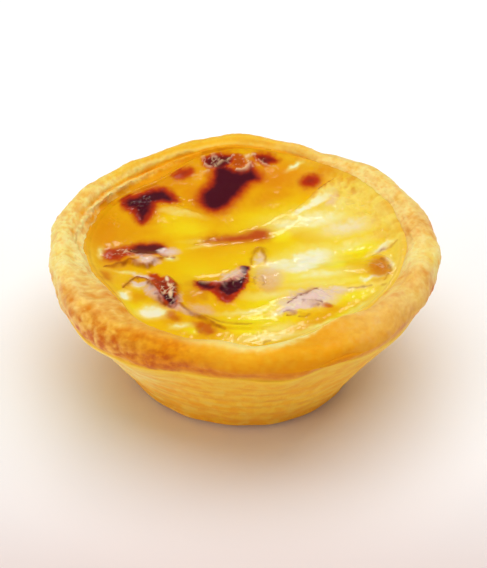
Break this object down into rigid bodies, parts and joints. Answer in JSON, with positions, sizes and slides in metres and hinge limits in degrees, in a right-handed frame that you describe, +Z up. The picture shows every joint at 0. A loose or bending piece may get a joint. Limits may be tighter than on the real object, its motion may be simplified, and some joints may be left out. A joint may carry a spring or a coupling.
{
  "type": "egg tart",
  "caption": "Baked egg tart: a thick-rimmed puff pastry cup filled with glossy egg custard whose skin is blistered, folded and scorched in spots.",
  "frame": {"origin": "middle of the flat foot that the tart stands on", "axes": "+Z up, +X to the right and -Y to the front, as seen from the front"},
  "size_m": [0.0762, 0.0768, 0.0302],
  "materials": {
    "baked_pastry": "golden baked puff pastry, mottled and flaky",
    "baked_custard": "glossy yellow custard skin with brown scorched spots"
  },
  "bodies": {
    "root": {"pastry_cup": "baked_pastry", "custard": "baked_custard"}
  },
  "joints": []
}
